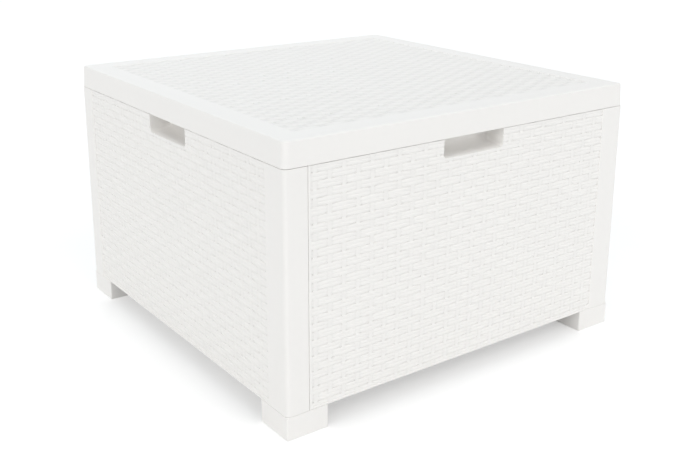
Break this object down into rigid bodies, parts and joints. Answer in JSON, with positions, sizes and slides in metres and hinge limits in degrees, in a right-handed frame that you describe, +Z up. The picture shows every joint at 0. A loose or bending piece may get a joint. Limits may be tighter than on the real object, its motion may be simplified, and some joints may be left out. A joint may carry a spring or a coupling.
{
  "type": "patio storage table",
  "caption": "Square patio storage table in white moulded plastic, with woven-look walls and top, rounded corner posts, grip cups, block feet and a lift-off lid.",
  "frame": {"origin": "on the ground under the middle of the table", "axes": "+Z up, -Y out of the front wall, +X to the right seen from the front; all four sides are alike by quarter turns about Z"},
  "size_m": [0.78, 0.78, 0.5],
  "materials": {
    "white_plastic": "satin moulded",
    "inner_plastic": "plain moulded"
  },
  "bodies": {
    "box": {"wall_front": "white_plastic", "wall_right": "white_plastic", "wall_back": "white_plastic", "wall_left": "white_plastic", "floor_panel": "inner_plastic", "corner_key_front_left": "inner_plastic", "corner_key_front_right": "inner_plastic", "corner_key_back_right": "inner_plastic", "corner_key_back_left": "inner_plastic", "foot_front_left": "white_plastic", "foot_front_right": "white_plastic", "foot_back_right": "white_plastic", "foot_back_left": "white_plastic"},
    "lid": {"lid": "white_plastic"}
  },
  "joints": [
    {"name": "lid_lift", "type": "slide", "parent": "box", "child": "lid", "axis": [0, 0, 1], "range_m": [0, 0.25]}
  ]
}
